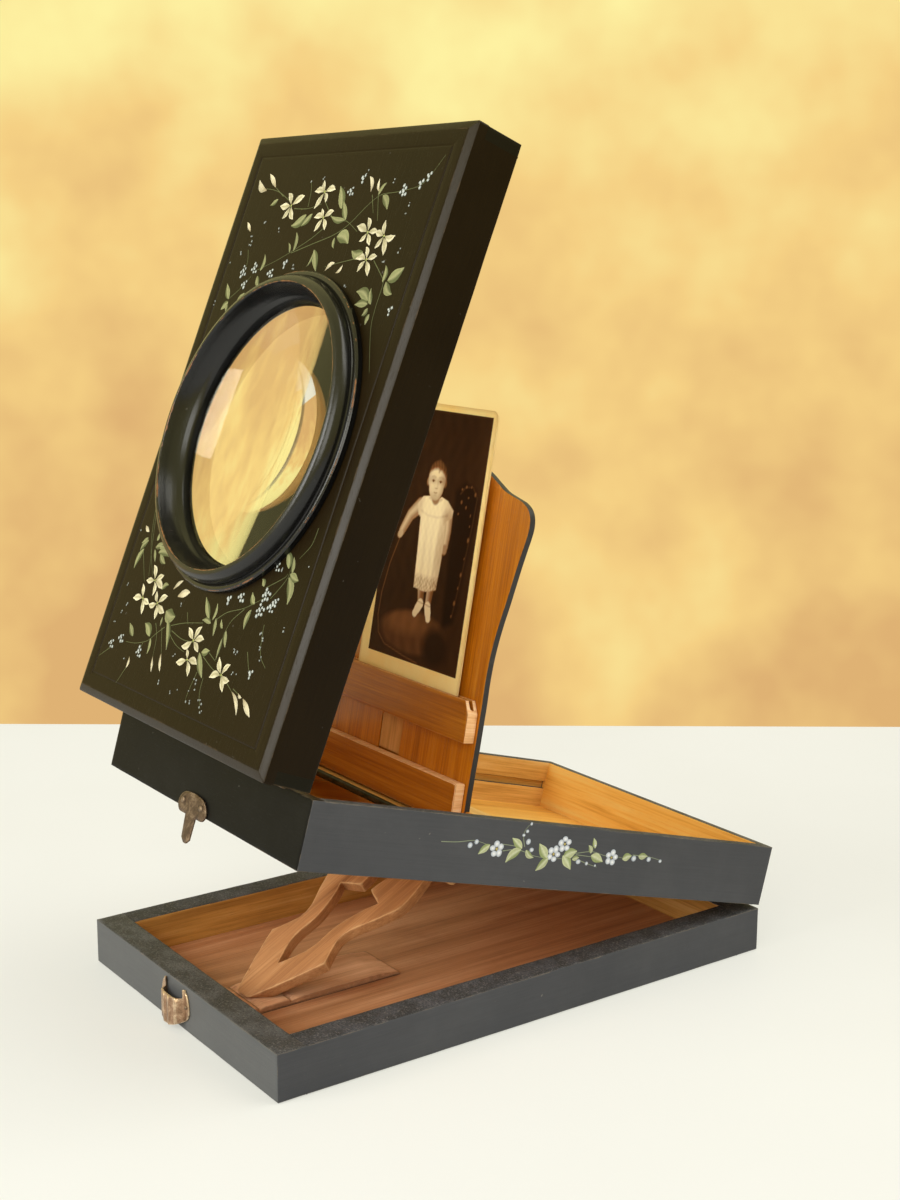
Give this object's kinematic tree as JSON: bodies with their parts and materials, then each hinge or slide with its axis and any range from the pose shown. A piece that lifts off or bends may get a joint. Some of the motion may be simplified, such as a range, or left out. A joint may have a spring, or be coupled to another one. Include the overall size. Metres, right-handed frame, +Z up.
{
  "type": "graphoscope",
  "caption": "Folding wooden graphoscope: a lid with a large magnifying lens and a sliding picture stand on a tray propped over a shallow base.",
  "frame": {"origin": "centre of the base's underside, on the surface it stands on", "axes": "+Z up, -Y to the front where the lens and the catch are, +X to the right of someone who looks at the lens"},
  "size_m": [0.1412, 0.2311, 0.3147],
  "materials": {
    "ebonised_wood": "black lacquer, satin, worn at the edges",
    "floor_wood": "thin warm varnish",
    "strut_wood": "thin warm varnish",
    "stand_wood": "orange varnish",
    "ledge_wood": "mahogany varnish",
    "dark_brass": "dark oxidised sheet",
    "pale_brass": "pale oxidised sheet",
    "lens_glass": "polished",
    "picture_card": "old photograph mount"
  },
  "bodies": {
    "base": {"base_front_rail": "ebonised_wood", "base_rear_rail": "ebonised_wood", "base_left_rail": "ebonised_wood", "base_right_rail": "ebonised_wood", "base_floor": "floor_wood", "rack_strip": "floor_wood", "catch_keeper": "pale_brass", "keeper_nail_left": "pale_brass", "keeper_nail_right": "pale_brass", "rear_hinge_left_base_leaf": "dark_brass", "rear_hinge_right_base_leaf": "dark_brass", "rear_hinge_left_pin": "dark_brass", "rear_hinge_right_pin": "dark_brass"},
    "tray": {"tray_front_wall": "ebonised_wood", "tray_rear_wall": "ebonised_wood", "tray_left_wall": "ebonised_wood", "tray_right_wall": "ebonised_wood", "tray_floor": "floor_wood", "catch_tongue": "dark_brass", "catch_nail_left": "dark_brass", "catch_nail_right": "dark_brass", "rear_hinge_left_tray_leaf": "dark_brass", "rear_hinge_right_tray_leaf": "dark_brass", "front_hinge_left_tray_leaf": "dark_brass", "front_hinge_right_tray_leaf": "dark_brass", "front_hinge_left_pin": "dark_brass", "front_hinge_right_pin": "dark_brass", "strut_lug_left": "strut_wood", "strut_lug_right": "strut_wood", "strut_axle": "dark_brass"},
    "strut": {"prop_strut": "strut_wood"},
    "lens_panel": {"panel_board": "ebonised_wood", "panel_hinge_wall": "ebonised_wood", "panel_free_wall": "ebonised_wood", "panel_left_wall": "ebonised_wood", "panel_right_wall": "ebonised_wood", "lens_ring": "ebonised_wood", "lens": "lens_glass", "lens_retainer": "floor_wood", "front_hinge_left_panel_leaf": "dark_brass", "front_hinge_right_panel_leaf": "dark_brass"},
    "carriage": {"carriage_board": "stand_wood", "carriage_nosing": "ebonised_wood", "stand_lug_left": "stand_wood", "stand_lug_right": "stand_wood", "stand_pin_left": "dark_brass", "stand_pin_right": "dark_brass"},
    "stand": {"stand_board": "stand_wood", "lower_ledge": "ledge_wood"},
    "ledge": {"upper_ledge": "ledge_wood", "slide_tongue": "ledge_wood", "picture_card": "picture_card"}
  },
  "joints": [
    {"name": "tray_lower", "type": "hinge", "parent": "base", "child": "tray", "pos_m": [0, 0.1114, 0.0178], "axis": [1, 0, 0], "range_deg": [0, 15.83]},
    {"name": "strut_fold", "type": "hinge", "parent": "tray", "child": "strut", "pos_m": [0.001, -0.01119, 0.04404], "axis": [1, 0, 0], "range_deg": [-44.4, 0]},
    {"name": "lens_panel", "type": "hinge", "parent": "tray", "child": "lens_panel", "pos_m": [0, -0.09624, 0.10224], "axis": [1, 0, 0], "range_deg": [-83.72, 0]},
    {"name": "carriage_slide", "type": "slide", "parent": "tray", "child": "carriage", "axis": [0, 0.9621, -0.2728], "range_m": [-0.042, 0.004]},
    {"name": "stand_fold", "type": "hinge", "parent": "carriage", "child": "stand", "pos_m": [0, -0.01946, 0.0751], "axis": [1, 0, 0], "range_deg": [-95.81, 0]},
    {"name": "ledge_slide", "type": "slide", "parent": "stand", "child": "ledge", "axis": [0, 0.1742, 0.9847], "range_m": [-0.0147, 0]}
  ],
  "couplings": [
    {"joint": "strut_fold", "follows": "tray_lower", "ratio": -2.8017},
    {"joint": "stand_fold", "follows": "lens_panel", "ratio": 1.1443},
    {"joint": "ledge_slide", "follows": "lens_panel", "m_per_rad": 0.010053}
  ]
}
